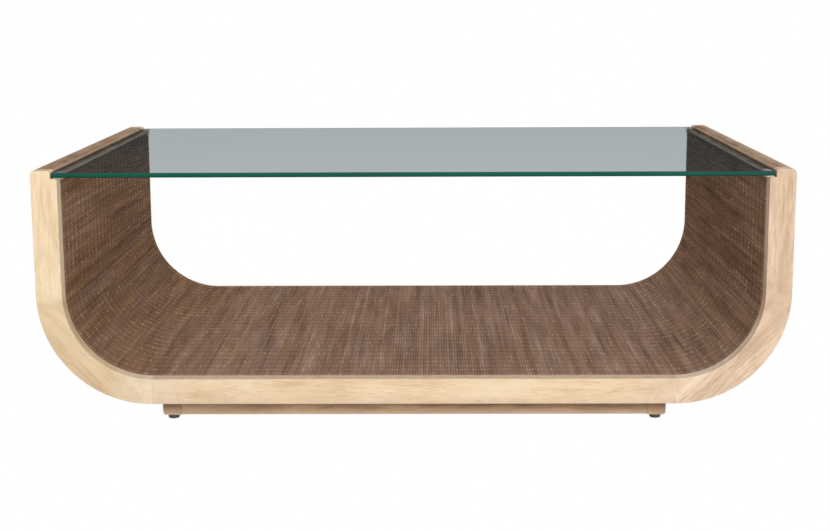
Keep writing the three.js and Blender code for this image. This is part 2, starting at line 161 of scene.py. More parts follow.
class Shade:
    """The node tree of a material or of the world, with a short call for each kind of node."""

    def __init__(self, owner):
        owner.use_nodes = True
        self.owner = owner
        self.tree = owner.node_tree
        self.tree.nodes.clear()

    def add(self, kind, inputs, **settings):
        """Each input is a value, or the output of another node that feeds it."""
        made = self.tree.nodes.new("ShaderNode" + kind)
        for setting, value in settings.items():
            setattr(made, setting, value)
        for socket, value in inputs.items():
            if isinstance(value, bpy.types.NodeSocket):
                self.tree.links.new(value, made.inputs[socket])
            else:
                made.inputs[socket].default_value = value
        return made

    def object_place(self):
        return self.add("TexCoord", {}).outputs["Object"]

    def mapped(self, vector, scale=(1, 1, 1), rotation=(0, 0, 0)):
        inputs = {"Vector": vector, "Scale": scale, "Rotation": rotation}
        return self.add("Mapping", inputs).outputs[0]

    def vector(self, operation, first, second):
        return self.add("VectorMath", {0: first, 1: second}, operation=operation).outputs[0]

    def length(self, vector):
        return self.add("VectorMath", {0: vector}, operation="LENGTH").outputs["Value"]

    def math(self, operation, first, second=0.0, clamp=False):
        inputs = {0: first, 1: second}
        return self.add("Math", inputs, operation=operation, use_clamp=clamp).outputs[0]

    def times(self, first, *others):
        for other in others:
            first = self.math("MULTIPLY", first, other)
        return first

    def swayed(self, value, field, amount):
        """The value, moved up and down with a field whose middle is 0.5."""
        return self.math("ADD", value, self.times(self.math("SUBTRACT", field, 0.5), amount))

    def parts(self, vector):
        made = self.add("SeparateXYZ", {0: vector})
        return made.outputs[0], made.outputs[1], made.outputs[2]

    def joined(self, x, y, z):
        return self.add("CombineXYZ", {0: x, 1: y, 2: z}).outputs[0]

    def noise(self, vector, scale=1.0, detail=2.0, roughness=0.5, colour=False):
        inputs = {"Vector": vector, "Scale": scale, "Detail": detail, "Roughness": roughness}
        return self.add("TexNoise", inputs).outputs[1 if colour else 0]

    def streaks(self, vector, along, across, detail=2.0, **more):
        """Noise with one scale along X and another across it."""
        return self.noise(self.mapped(vector, scale=(along, across, across)), detail=detail, **more)

    def white(self, vector):
        return self.add("TexWhiteNoise", {"Vector": vector}).outputs["Value"]

    def spread(self, value, low, high, to_low=0.0, to_high=1.0):
        inputs = {"Value": value, "From Min": low, "From Max": high, "To Min": to_low, "To Max": to_high}
        return self.add("MapRange", inputs, clamp=True).outputs[0]

    def mix(self, share, first, second):
        return self.add("Mix", {0: share, 6: first, 7: second}, data_type="RGBA").outputs[2]

    def ramp(self, share, stops):
        made = self.add("ValToRGB", {0: share})
        steps = made.color_ramp.elements
        while len(steps) < len(stops):
            steps.new(1.0)
        for step, (place, colour) in zip(steps, stops):
            step.position = place
            step.color = colour
        return made.outputs[0]

    def bump(self, height, distance, strength):
        inputs = {"Height": height, "Distance": distance, "Strength": strength}
        return self.add("Bump", inputs).outputs[0]

    def seen(self):
        """1 for what the camera sees, also in a mirror or through glass."""
        path = self.add("LightPath", {}).outputs
        direct = self.math("MAXIMUM", path["Is Camera Ray"], path["Is Transmission Ray"])
        return self.math("MAXIMUM", direct, path["Is Glossy Ray"])

    def principled(self, **sockets):
        """sockets are the shader's own inputs, with _ for each space."""
        inputs = {socket.replace("_", " "): value for socket, value in sockets.items()}
        return self.add("BsdfPrincipled", inputs).outputs[0]

    def mixed(self, share, first, second):
        return self.add("MixShader", {0: share, 1: first, 2: second}).outputs[0]

    def finish(self, shader):
        self.add("OutputMaterial", {0: shader})
        return self.owner


ALONG_X, ALONG_Y, ALONG_Z = (0, 0, 0), (0, 0, -math.pi / 2), (0, math.pi / 2, 0)


def diagonal(side):
    """The turn that lays the grain along the chord of a corner block."""
    return (0, side * math.pi / 4, 0)


def wood(name, turn, seed, dark, middle, light, end_colour=END_GRAIN, contrast=1.0, marks=0.0,
         knot=None, finish=None, sheen=0.2):
    """Brushed oak. turn brings its grain to X. end_colour is that of a cut across the grain.
    finish takes the material's tree and its colour so far, and returns the colour to use."""
    s = Shade(bpy.data.materials.new(name))
    place = s.object_place()
    grain = s.mapped(place, rotation=turn)
    grain = s.vector("ADD", grain, (0.37 * seed, 0.13 * seed, 0.21 * seed))
    if knot:
        offset = s.vector("SUBTRACT", place, knot)
        distance = s.length(s.vector("MULTIPLY", offset, (1, 0, 1)))
        near = s.spread(distance, 0.002, 0.02, 1.0, 0.0)
        push = s.vector("MULTIPLY", offset, (0, 0, -0.5))
        push = s.vector("MULTIPLY", push, s.joined(near, near, near))
        grain = s.vector("ADD", grain, push)
    warp = s.streaks(grain, 6, 20, colour=True)
    warp = s.vector("MULTIPLY", s.vector("SUBTRACT", warp, (0.5, 0.5, 0.5)), (0, 0.022, 0.022))
    bent = s.vector("ADD", grain, warp)

    # The tone, from clouds, bands and fine streaks
    streak = s.streaks(bent, 20, 260, 3.0, roughness=0.6)
    tone = s.times(s.math("SUBTRACT", s.streaks(bent, 9, 24, 3.0), 0.5), 0.75 * contrast)
    tone = s.swayed(tone, s.streaks(bent, 2.4, 52), 0.5 * contrast)
    tone = s.swayed(tone, streak, 0.55 * contrast)
    tone = s.math("ADD", tone, 0.52, clamp=True)
    colour = s.ramp(tone, [(0.16, dark), (0.5, middle), (0.84, light)])

    # Dark veins, pores and marks
    vein = s.math("ABSOLUTE", s.math("SUBTRACT", s.streaks(bent, 3.4, 75, 1.0), 0.5))
    vein = s.spread(vein, 0.0, 0.035, 1.0, 0.0)
    broken = s.spread(s.streaks(grain, 15, 60), 0.45, 0.62)
    colour = s.mix(s.times(vein, broken, 0.45 * contrast), colour, dark)
    pore = s.spread(s.streaks(bent, 42, 1300, 1.0), 0.56, 0.72)
    colour = s.mix(s.times(pore, 0.2 * contrast), colour, dark)
    if marks:
        stroke = s.spread(s.streaks(bent, 38, 330, roughness=0.6), 0.56, 0.7)
        patch = s.spread(s.streaks(grain, 9, 22, 1.0), 0.42, 0.6)
        colour = s.mix(s.times(stroke, patch, marks), colour, srgb(132, 102, 78))
    if knot:
        rim = s.times(s.spread(distance, 0.0032, 0.0046), s.spread(distance, 0.0046, 0.0062, 1.0, 0.0))
        aside, _, above = s.parts(offset)
        fading = s.spread(s.math("ADD", aside, above), -0.003, 0.004, 0.0, 0.45)
        colour = s.mix(s.times(rim, fading), colour, srgb(160, 146, 132))
        colour = s.mix(s.spread(distance, 0.002, 0.005, 0.3, 0.0), colour, srgb(226, 206, 190))

    # Painted highlights on the eased edges, and the ends of the grain
    arris = s.add("Attribute", {}, attribute_name="arris").outputs["Fac"]
    colour = s.mix(s.times(arris, 0.6), colour, light)
    fibres = Euler(turn).to_matrix().transposed() @ Vector((1, 0, 0))
    normal = s.add("NewGeometry", {}).outputs["Normal"]
    cut = s.add("VectorMath", {0: normal, 1: fibres}, operation="DOT_PRODUCT").outputs["Value"]
    cut = s.spread(s.math("ABSOLUTE", cut), 0.7, 0.95)
    speck = s.spread(s.streaks(grain, 60, 700), 0.35, 0.7)
    colour = s.mix(s.times(cut, 0.85), colour, s.mix(speck, end_colour, dark))
    if finish:
        colour = finish(s, colour)
    gloss = s.spread(streak, 0.3, 0.7, 0.68, 0.56)
    normal = s.bump(s.math("SUBTRACT", s.times(streak, 0.6), pore), 0.00025, 0.6)
    shader = s.principled(Base_Color=colour, Roughness=gloss, Normal=normal, Specular_IOR_Level=sheen)
    return s.finish(shader)


def rail_light_and_shade(outside):
    """Painted light: a paler wall above the glass and a lighter arris between the ledge and the lip.
    Painted shade darkens the lip below. The outer edge is paler by the share in outside."""
    def finish(s, colour):
        x, _, z = s.parts(s.object_place())
        across = s.math("ABSOLUTE", x)
        outer = s.spread(across, HALF_WIDTH - 0.026, HALF_WIDTH - 0.003, 0.0, outside)
        colour = s.mix(outer, colour, srgb(238, 212, 190))
        # Painted light on the wall and shoulder above the glass
        upper = s.spread(z, FRAME_TOP - 0.003, FRAME_TOP - 0.0006)
        wall = s.mix(upper, srgb(196, 168, 142), srgb(206, 180, 156))
        painted_light = s.times(s.spread(across, RABBET_WALL + 0.0012, RABBET_WALL + 0.0028, 0.7, 0.0),
                       s.spread(z, LEDGE_Z + 0.006, LEDGE_Z + 0.008))
        colour = s.mix(painted_light, colour, wall)
        # A painted highlight on the arris between the ledge and the lip
        inner = s.spread(across, HALF_WIDTH - 0.024, HALF_WIDTH - 0.02, 1.0, 0.0)
        off_arris = s.math("ABSOLUTE", s.math("SUBTRACT", z, LEDGE_Z - 0.003))
        arris = s.times(s.spread(off_arris, 0.0006, 0.0024, 1.0, 0.0), inner)
        colour = s.mix(arris, colour, srgb(226, 214, 202))
        # Painted shade on the lip below the ledge
        below = s.times(s.spread(z, LEDGE_Z - 0.006, LEDGE_Z - 0.0045, 0.75, 0.0), inner)
        return s.mix(below, colour, srgb(112, 92, 78))
    return finish


def running_into(*ways):
    """Each way is an axis, where the change starts and is full, its drift, its most, and the
    palette that the wood runs into."""
    def finish(s, colour):
        place = s.object_place()
        parts = s.parts(place)
        drift = s.noise(place, scale=22.0, detail=3.0)
        grain = s.streaks(place, 70, 70, 3.0)
        for axis, start, full, wander, most, tones in ways:
            where = s.math("ADD", parts[axis], s.spread(drift, 0.3, 0.7, -wander, wander))
            near = s.ramp(grain, [(0.05, tones["dark"]), (0.5, tones["middle"]), (0.95, tones["light"])])
            colour = s.mix(s.spread(where, start, full, 0.0, most), colour, near)
        return colour
    return finish


def plinth_shade_and_tone(s, colour):
    """Painted shadow of the frame darkens the top of the plinth, painted light makes its lower part
    paler, and it is darker towards its right end.
    """
    place = s.object_place()
    x, _, z = s.parts(place)
    drift = s.noise(s.mapped(place, scale=(14, 14, 60)), detail=3.0)
    high = s.math("ADD", z, s.spread(drift, 0.3, 0.7, -0.003, 0.003))
    # Painted shadow of the overhanging frame on the plinth's top
    overhang_shadow = s.spread(high, FRAME_BASE - 0.021, FRAME_BASE - 0.012, 0.0, 0.72)
    colour = s.mix(overhang_shadow, colour, srgb(102, 76, 56))
    # Painted light on the plinth's lower part
    paler = s.spread(high, FRAME_BASE - 0.033, FRAME_BASE - 0.021, 0.65, 0.0)
    colour = s.mix(paler, colour, srgb(228, 200, 170))
    return s.mix(s.spread(x, 0.39, 0.438, 0.0, 0.25), colour, srgb(140, 112, 90))


def weave_material():
    """Cane strands run along the second axis of the map named cloth, in metres.
    They are bound by thin cross strands and rise between them."""
    s = Shade(bpy.data.materials.new("woven_cane"))
    across, along, _ = s.parts(s.add("UVMap", {}, uv_map="cloth").outputs[0])
    x, _, z = s.parts(s.object_place())
    count = s.math("DIVIDE", across, STRAND_PITCH)
    strand = s.math("FLOOR", count)

    def field(own_scale, depth_scale, layer, detail=3.0):
        """A cloudy field over the whole sheet."""
        place = s.joined(s.times(across, own_scale), s.times(along, depth_scale), layer)
        return s.noise(place, detail=detail)

    def by_strand(step, depth_scale, layer):
        """A field along each strand, unlike that of the strands beside it."""
        place = s.joined(s.times(strand, step), s.times(along, depth_scale), layer)
        return s.noise(place, detail=2.0)

    # How far a point is towards its strand's crown, and the strand towards its highest place
    crown = s.math("PINGPONG", s.times(s.math("FRACT", count), 2.0), 1.0)
    span = s.swayed(s.math("DIVIDE", along, WEFT_PITCH), s.white(s.joined(strand, 0.0, 8.0)), 0.16)
    rise = s.spread(s.math("COSINE", s.times(span, 2 * math.pi)), 1.0, -1.0)

    # The cane's own tone, painted lighter and greyer on the floor as light and sheen, and darker in the
    # left bend
    fibre = field(2600.0, 45.0, 0.0, 2.0)
    tone = s.times(s.math("SUBTRACT", field(70.0, 5.0, 1.0, 4.0), 0.5), 0.65)
    tone = s.swayed(tone, field(32.0, 3.2, 5.0), 0.6)
    tone = s.swayed(tone, by_strand(7.31, 3.0, 9.0), 0.4)
    tone = s.swayed(tone, s.white(s.joined(strand, 0.0, 5.0)), 0.24)
    tone = s.swayed(tone, fibre, 0.3)
    tone = s.math("ADD", tone, 0.5, clamp=True)
    upper = s.ramp(tone, [
        (0.1, srgb(104, 78, 63)),
        (0.4, srgb(150, 117, 97)),
        (0.6, srgb(171, 135, 113)),
        (0.9, srgb(204, 168, 143)),
    ])
    sheened_floor = s.ramp(tone, [
        (0.1, srgb(108, 82, 71)),
        (0.4, srgb(156, 124, 107)),
        (0.6, srgb(176, 142, 125)),
        (0.9, srgb(210, 175, 157)),
    ])
    # The floor takes the paler, greyer colours as painted light and sheen; the walls and the left part
    # keep the darker ones
    sides = s.math("MAXIMUM", s.spread(z, 0.09, 0.15), s.spread(x, -0.36, -0.48))
    colour = s.mix(sides, sheened_floor, upper)
    left_bend = s.times(s.spread(x, -0.41, -0.48), s.spread(z, 0.28, 0.18), 0.24)
    colour = s.mix(left_bend, colour, srgb(70, 48, 34))
    hue = field(62.0, 2.2, 21.0)
    warm = s.times(s.spread(hue, 0.4, 0.7, 0.0, 0.48), s.spread(x, 0.1, -0.35, 0.35, 1.0))
    colour = s.mix(warm, colour, srgb(168, 124, 84))
    colour = s.mix(s.spread(hue, 0.45, 0.3, 0.0, 0.3), colour, srgb(148, 130, 118))

    # Painted highlights on the crowns, brighter on some strands and all along the front edge
    wall = s.spread(z, 0.1, 0.24)
    spark = s.white(s.joined(strand, s.math("FLOOR", span), 3.0))
    lit = s.spread(by_strand(5.17, 9.0, 13.0), 0.46, 0.66)
    bright = s.times(lit, s.spread(spark, 0.0, 1.0, 0.45, 1.0))
    patch = s.spread(field(26.0, 7.0, 33.0), 0.36, 0.62, 0.2, 1.0)
    bright = s.times(s.math("ADD", bright, s.math("POWER", spark, 5.0)), patch)
    rows = s.spread(field(13.0, 5.0, 61.0), 0.4, 0.6, 0.15, 1.15)
    rows = s.times(rows, s.spread(z, 0.1, 0.32, 0.35, 1.0))
    rows = s.math("MAXIMUM", rows, s.spread(wall, 0.0, 1.0, 1.0, 0.0))
    dotted = s.times(rows, s.spread(wall, 0.0, 1.0, 0.08, 0.17))
    bright = s.math("ADD", s.spread(bright, 0.1, 0.9, 0.0, 0.78), dotted, clamp=True)
    front = s.spread(along, 0.004, 0.03, 0.4, 0.0)
    bright = s.math("MAXIMUM", bright, front)
    peak = s.math("MAXIMUM", s.math("POWER", rise, 1.8), front)
    dash = s.times(s.math("POWER", crown, 1.5), peak)
    colour = s.mix(s.times(dash, bright), colour, srgb(226, 198, 170))

    # Painted shade in the gaps between the strands, and in rows where they are bound
    gap = s.spread(field(90.0, 14.0, 41.0), 0.36, 0.62, 0.3, 1.4)
    gap = s.times(gap, s.spread(wall, 0.0, 1.0, 0.32, 0.46))
    gap = s.times(s.spread(crown, 0.0, 0.6, 1.0, 0.0), gap)
    colour = s.mix(gap, colour, srgb(48, 33, 25))
    bound = s.times(s.spread(rise, 0.0, 0.35, 1.0, 0.0), s.spread(wall, 0.0, 1.0, 0.12, 0.2), rows)
    colour = s.mix(bound, colour, srgb(56, 39, 30))
    gloss = s.spread(fibre, 0.3, 0.7, 0.66, 0.52)
    normal = s.bump(s.math("ADD", fibre, crown), 0.0003, 0.5)
    shader = s.principled(Base_Color=colour, Roughness=gloss, Normal=normal, Specular_IOR_Level=0.0)
    return s.finish(shader)


def glass_face_material():
    """It bends what is seen through it and greys it at a low angle, and lamps shine through."""
    s = Shade(bpy.data.materials.new("glass_face"))
    facing = s.add("LayerWeight", {"Blend": 0.5}).outputs["Facing"]
    smear = s.noise(s.object_place(), scale=6.0, detail=3.0)
    tint = s.mix(s.math("POWER", facing, 2.0), srgb(251, 251, 251), srgb(150, 158, 160))
    tint = s.mix(s.spread(smear, 0.4, 0.8, 0.0, 0.03), tint, srgb(205, 210, 212))
    bent = s.add("BsdfRefraction", {"Color": tint, "Roughness": 0.0, "IOR": 1.5}).outputs[0]
    mirror = s.add("BsdfGlossy", {"Color": srgb(168, 224, 248), "Roughness": 0.03}).outputs[0]
    outside = s.math("SUBTRACT", 1.0, s.add("NewGeometry", {}).outputs["Backfacing"])
    share = s.times(s.spread(smear, 0.3, 0.7, 0.022, 0.026), outside)
    path = s.add("LightPath", {}).outputs
    lit = s.math("MAXIMUM", path["Is Shadow Ray"], path["Is Diffuse Ray"])
    through = s.add("BsdfTransparent", {"Color": srgb(246, 248, 247)}).outputs[0]
    return s.finish(s.mixed(lit, s.mixed(share, bent, mirror), through))


def glass_rim_material():
    """The edge of the sheet, deep green from outside and clear from within."""
    s = Shade(bpy.data.materials.new("glass_rim"))
    place = s.object_place()
    x, _, z = s.parts(place)
    streak = s.noise(s.mapped(place, scale=(9, 9, 60)), detail=3.0)
    # Dark at the bottom as painted shade, green through the middle, and grey at the top as a painted
    # highlight
    colour = s.ramp(s.spread(z, GLASS_LOW.z, GLASS_HIGH.z), [
        (0.0, srgb(3, 30, 25)),
        (0.25, srgb(2, 78, 60)),
        (0.8, srgb(3, 92, 74)),
        (0.92, srgb(52, 66, 70)),
    ])
    colour = s.mix(s.times(s.spread(x, 0.4, 0.58), 0.5), colour, srgb(26, 62, 60))
    colour = s.mix(s.spread(streak, 0.45, 0.75, 0.0, 0.35), colour, srgb(16, 50, 50))
    # A painted highlight on the top arris at each end
    end = s.spread(s.math("ABSOLUTE", x), GLASS_HIGH.x - 0.0012, GLASS_HIGH.x - 0.0008)
    top = s.spread(z, GLASS_HIGH.z - 0.0011, GLASS_HIGH.z - 0.0007)
    colour = s.mix(s.times(end, top, 0.8), colour, srgb(176, 160, 138))
    solid = s.principled(Base_Color=colour, Roughness=0.3, Specular_IOR_Level=0.1)
    within = s.mix(s.spread(streak, 0.4, 0.7), srgb(196, 202, 200), srgb(206, 212, 210))
    clear = s.add("BsdfTransparent", {"Color": within}).outputs[0]
    inside = s.add("NewGeometry", {}).outputs["Backfacing"]
    return s.finish(s.mixed(inside, solid, clear))


def plain_material(name, dark, light, scale, rough, metal=0.0, stretch=(1, 1, 1)):
    """A fine mottle between two colours, for moulded, metal and hidden pieces."""
    s = Shade(bpy.data.materials.new(name))
    place = s.mapped(s.object_place(), scale=stretch)
    coarse = s.noise(place, scale=scale, detail=4.0, roughness=0.6)
    fine = s.noise(place, scale=scale * 7)
    colour = s.mix(s.spread(coarse, 0.32, 0.68), dark, light)
    gloss = s.spread(fine, 0.3, 0.7, rough - 0.06, rough + 0.06)
    normal = s.bump(fine, 0.0002, 0.4)
    return s.finish(s.principled(Base_Color=colour, Roughness=gloss, Normal=normal, Metallic=metal))


def plywood_material():
    s = Shade(bpy.data.materials.new("plywood"))
    place = s.object_place()
    grain = s.streaks(place, 5, 120, 3.0)
    layer = s.math("FRACT", s.times(s.parts(place)[2], 700.0))
    colour = s.ramp(grain, [(0.3, srgb(160, 124, 84)), (0.7, srgb(204, 168, 122))])
    colour = s.mix(s.spread(layer, 0.0, 0.2, 0.3, 0.0), colour, srgb(120, 88, 58))
    return s.finish(s.principled(Base_Color=colour, Roughness=s.spread(grain, 0.3, 0.7, 0.7, 0.55)))


# Outlines and pieces

def arc(centre, radius, start, end, steps):
    """Points on an arc, with the angles in degrees from the first axis towards the second."""
    angles = np.radians(np.linspace(start, end, steps + 1))
    return [(centre[0] + radius * math.cos(a), centre[1] + radius * math.sin(a)) for a in angles]


def mirrored(points):
    """An outline on X and Z, moved to the other side."""
    return [(-x, z) for x, z in reversed(points)]


def side_top(side):
    """Top of the right side on X and Z, from its outer face to its inner face, eased as on side."""
    ease = CORNER_EASE[side]
    corner = (HALF_WIDTH - ease, FRAME_TOP - ease)
    shoulder = (RABBET_WALL + SHOULDER_EASE, FRAME_TOP - SHOULDER_EASE)
    ledge = (INNER_HALF + LEDGE_EASE, LEDGE_Z - LEDGE_EASE)
    return [
        *arc(corner, ease, 0, 90, EASE_STEPS + 2),
        *arc(shoulder, SHOULDER_EASE, 90, 180, EASE_STEPS),
        (RABBET_WALL, LEDGE_Z),
        *arc(ledge, LEDGE_EASE, 90, 180, EASE_STEPS),
    ]


def inset_of(outline, eases):
    """For each point, how far it moves in when each edge moves in by its own ease."""
    points = np.array(outline, float)
    after = np.roll(points, -1, 0) - points
    after /= np.linalg.norm(after, axis=1)[:, None]
    inward = np.stack([-after[:, 1], after[:, 0]], 1)
    moves = []
    for place in range(len(points)):
        normals = np.array([inward[place - 1], inward[place]])
        wanted = np.array([eases[place - 1], eases[place]])
        if abs(np.linalg.det(normals)) < 0.02:
            moves.append(normals.mean(0) * wanted.mean())
        else:
            moves.append(np.linalg.solve(normals, wanted))
    return points, np.array(moves)


def eased_prism(outline, eases, front, back, back_share=0.3, step=None):
    """The outline, anticlockwise from the front, pulled from front to back on Y.
    Each outline edge has its ease, and those edges of the front and back are rounded.
    From the depth in step on, the outline in step takes over, point for point."""
    points, moves = inset_of(outline, eases)
    deepest = max(eases)
    # Each ring's share of the painted highlight on the eased edges, which the arris attribute carries
    rings, edge_highlight_shares = [], []
    angles = np.linspace(0, math.pi / 2, EASE_STEPS)
    for angle in angles:
        rings.append((front + deepest * (1 - math.cos(angle)), 1 - math.sin(angle), points, moves))
        edge_highlight_shares.append(math.sin(2 * angle))
    if step:
        rings.append((step[0], 0, points, moves))
        points, moves = inset_of(step[1], eases)
        rings.append((step[0], 0, points, moves))
        edge_highlight_shares += [0, 0]
    for angle in reversed(angles):
        y = back - back_share * deepest * (1 - math.cos(angle))
        rings.append((y, back_share * (1 - math.sin(angle)), points, moves))
        edge_highlight_shares.append(math.sin(2 * angle) * back_share)
    count = len(points)
    own = np.array(eases) / deepest
    own = np.minimum(own, np.roll(own, 1))
    verts, arris = [], []
    for (y, share, points, moves), painted_light in zip(rings, edge_highlight_shares):
        flat = points + moves * share
        verts += [(x, y, z) for x, z in flat]
        arris += list(own * painted_light)
    faces = [tuple(range(count))]
    for ring in range(len(rings) - 1):
        for place in range(count):
            following = (place + 1) % count
            low, high = ring * count, (ring + 1) * count
            faces.append((low + place, high + place, high + following, low + following))
    faces.append(tuple(reversed(range((len(rings) - 1) * count, len(rings) * count))))
    return verts, faces, arris


def make_piece(name, verts, faces, materials, body, nodes, arris=None, face_slots=None):
    """A named mesh piece on its CAD body, standing for CAD nodes."""
    mesh = bpy.data.meshes.new(name)
    mesh.from_pydata(verts, [], faces)
    for material in materials:
        mesh.materials.append(material)
    if face_slots is not None:
        mesh.polygons.foreach_set("material_index", face_slots)
    # The arris attribute tells the wood where to paint its highlight on eased edges
    if arris is not None:
        mesh.attributes.new("arris", "FLOAT", "POINT").data.foreach_set("value", arris)
    mesh.shade_smooth()
    mesh.set_sharp_from_angle(angle=math.radians(42))
    piece = bpy.data.objects.new(name, mesh)
    bpy.context.scene.collection.objects.link(piece)
    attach(piece, body)
    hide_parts(*nodes)
    return piece


def add_oak(name, slot, turn, seed, verts, faces, arris=None, **looks):
    """The piece of oak for the CAD node of that name, with flat shading beside its eased edges."""
    material = wood(f"oak_{name}", turn, seed, **looks)
    piece = make_piece(f"{name}_oak", verts, faces, [material], "table", [name], arris)
    weigh = piece.modifiers.new("flat_faces", "WEIGHTED_NORMAL")
    weigh.keep_sharp = True
    weigh.weight = 100


# The hoops

FRONT_KNOT = (-0.324, 0, 0.0585)
UPRIGHT_LOOKS = {
    "left": dict(CREAM, marks=0.3),
    "right": dict(BLUSH, marks=0.75, contrast=1.6, finish=running_into(
        (2, BEND_Z + 0.05, BEND_Z + 0.005, 0.012, 0.8, CLAY),
        (2, FRAME_TOP - 0.05, FRAME_TOP - 0.012, 0.01, 0.6, CLAY))),
}
CORNER_LOOKS = {
    "left": dict(AMBER, marks=0.2, finish=running_into(
        (2, BEND_Z - 0.016, BEND_Z - 0.002, 0.004, 0.9, CREAM),
        (0, -BEND_X - 0.075, -BEND_X - 0.01, 0.014, 0.9, CHALK))),
    "right": dict(ROSE, marks=0.45, contrast=1.6, finish=running_into(
        (2, BEND_Z - 0.065, BEND_Z - 0.02, 0.012, 1.0, CLAY))),
}
RAIL_LOOKS = dict(HONEY, marks=0.25, finish=running_into(
    (0, -BEND_X + 0.085, -BEND_X + 0.02, 0.02, 0.6, CHALK),
    (0, BEND_X - 0.07, BEND_X - 0.01, 0.02, 0.9, ROSE),
    (2, FRAME_BASE + MEMBER - 0.0009, FRAME_BASE + MEMBER - 0.0003, 0.0, 0.85, CLAY),
    (2, FRAME_BASE + 0.016, FRAME_BASE, 0.003, 0.65, DUSK)))


def hoop_outlines(side, inner_depth, seated):
    """Outlines and eases of the upright, corner and rail of a hoop. Inside the U the hoop
    reaches inner_depth below its outer face. A seated one has two more points above the lining."""
    half_gap = GLUE_GAP / 2
    centre, joint_z = (BEND_X, BEND_Z), BEND_Z + half_gap
    outer_radius, inner_radius = BEND_RADIUS, BEND_RADIUS - inner_depth
    inner_x = HALF_WIDTH - inner_depth
    inner_ease = SEATED_ARRIS if seated else FRONT_ARRIS
    upright = [(HALF_WIDTH, joint_z), *side_top(side)]
    eases = [FRONT_ARRIS] * len(upright)
    if seated:
        seat_top = PANEL_TOP + SOLID_GAP
        upright += [(INNER_HALF, seat_top), (inner_x, seat_top - SEAT_SLOPE)]
        eases += [inner_ease] * 2
    upright.append((inner_x, joint_z))
    upright_eases = [*eases, JOINT_ARRIS]
    trim = math.degrees(half_gap / outer_radius)
    corner = [
        *arc(centre, outer_radius, -90 + trim, -trim, BEND_STEPS),
        *arc(centre, inner_radius, -trim, -90 + trim, BEND_STEPS),
    ]
    corner_eases = [FRONT_ARRIS] * (BEND_STEPS + 1) + [inner_ease] * (BEND_STEPS + 1)
    corner_eases[BEND_STEPS] = corner_eases[-1] = JOINT_ARRIS
    rail_x, rail_top = BEND_X - half_gap, FRAME_BASE + inner_depth
    rail = [(-rail_x, FRAME_BASE), (rail_x, FRAME_BASE), (rail_x, rail_top), (-rail_x, rail_top)]
    rail_eases = [FRONT_ARRIS, JOINT_ARRIS, inner_ease, JOINT_ARRIS]
    return (upright, upright_eases), (corner, corner_eases), (rail, rail_eases)


def add_hoop_piece(name, toward, sign, turn, seed, shape, seat, **looks):
    """shape is the outline of a piece on the right, and its eases. sign is -1 on the left. A
    back piece steps down to the outline in seat behind its lip."""
    outline, eases = shape
    if sign < 0:
        eases = [*reversed(eases[:-1]), eases[-1]]
        outline, seat = mirrored(outline), mirrored(seat)
    step = (-LIP_FRONT, seat) if toward > 0 else None
    verts, faces, arris = eased_prism(outline, eases, -HALF_DEPTH, -HOOP_INNER, step=step)
    if toward > 0:
        verts = [(x, -y, z) for x, y, z in verts]
        faces = [tuple(reversed(loop)) for loop in faces]
    add_oak(name, "pale_oak", turn, seed, verts, faces, arris, **looks)


def add_hoops():
    for end, toward in ENDS:
        for side, sign in SIDES:
            shapes = hoop_outlines(side, MEMBER if toward < 0 else WEAVE_DEPTH, toward > 0)
            seats = [outline for outline, _ in hoop_outlines(side, SEAT_DEPTH, True)]
            seed = 3 + 2 * sign + 5 * toward
            add_hoop_piece(f"{end}_{side}_upright", toward, sign, ALONG_Z, seed, shapes[0], seats[0],
                           **UPRIGHT_LOOKS[side])
            add_hoop_piece(f"{end}_{side}_corner", toward, sign, diagonal(sign), seed + 11, shapes[1],
                           seats[1], **CORNER_LOOKS[side])
        add_hoop_piece(f"{end}_bottom_rail", toward, 1, ALONG_X, 5 + toward, shapes[2], seats[2],
                       knot=FRONT_KNOT if toward < 0 else None, **RAIL_LOOKS)


# The shell between the hoops

def u_path(depth):
    """Points and unit normals, towards the inside, along the U at a depth below its outer face."""
    radius = BEND_RADIUS - depth
    points, normals = [(-(HALF_WIDTH - depth), PANEL_TOP)], [(1.0, 0.0)]
    for sign, span in ((-1, (180, 270)), (1, (270, 360))):
        for angle in np.radians(np.linspace(*span, BEND_STEPS + 1)):
            way = (math.cos(angle), math.sin(angle))
            points.append((sign * BEND_X + radius * way[0], BEND_Z + radius * way[1]))
            normals.append((-way[0], -way[1]))
    points.append((HALF_WIDTH - depth, PANEL_TOP))
    normals.append((-1.0, 0.0))
    return np.array(points), np.array(normals)


def add_top_rails():
    lip = PANEL_TOP + GLUE_GAP
    tongue_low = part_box("right_top_rail")[0].z
    tongue_in, tongue_out = INNER_HALF + TONGUE_INSET, HALF_WIDTH - SKIN_THICKNESS - GLUE_GAP
    for side, sign in SIDES:
        outline = [
            *side_top(side),
            (INNER_HALF, lip), (tongue_in, lip), (tongue_in, tongue_low),
            (tongue_out, tongue_low), (tongue_out, lip), (HALF_WIDTH, lip),
        ]
        if sign < 0:
            outline = mirrored(outline)
        shape = eased_prism(outline, [JOINT_ARRIS] * len(outline), -SHELL_END, SHELL_END, 1.0)
        # The darker palette is painted shade on the rails' tops; the paler wall, arris and darker lip by
        # the rabbet are painted light and shade
        paler = rail_light_and_shade(0.3 if side == "left" else 0.65)
        add_oak(f"{side}_top_rail", "top_oak", ALONG_Y, 31 + sign, *shape, contrast=1.5, marks=0.4,
                finish=paler, sheen=0.0, **SHADED_TAN)


def add_outer_skin():
    outer, inner = u_path(0)[0], u_path(SKIN_THICKNESS)[0]
    outline = [tuple(point) for point in (*outer, *inner[::-1])]
    shape = eased_prism(outline, [JOINT_ARRIS] * len(outline), -SHELL_END, SHELL_END, 1.0)
    add_oak("outer_skin", "pale_oak", ALONG_Y, 41, *shape, contrast=0.9, marks=0.25, **HONEY)


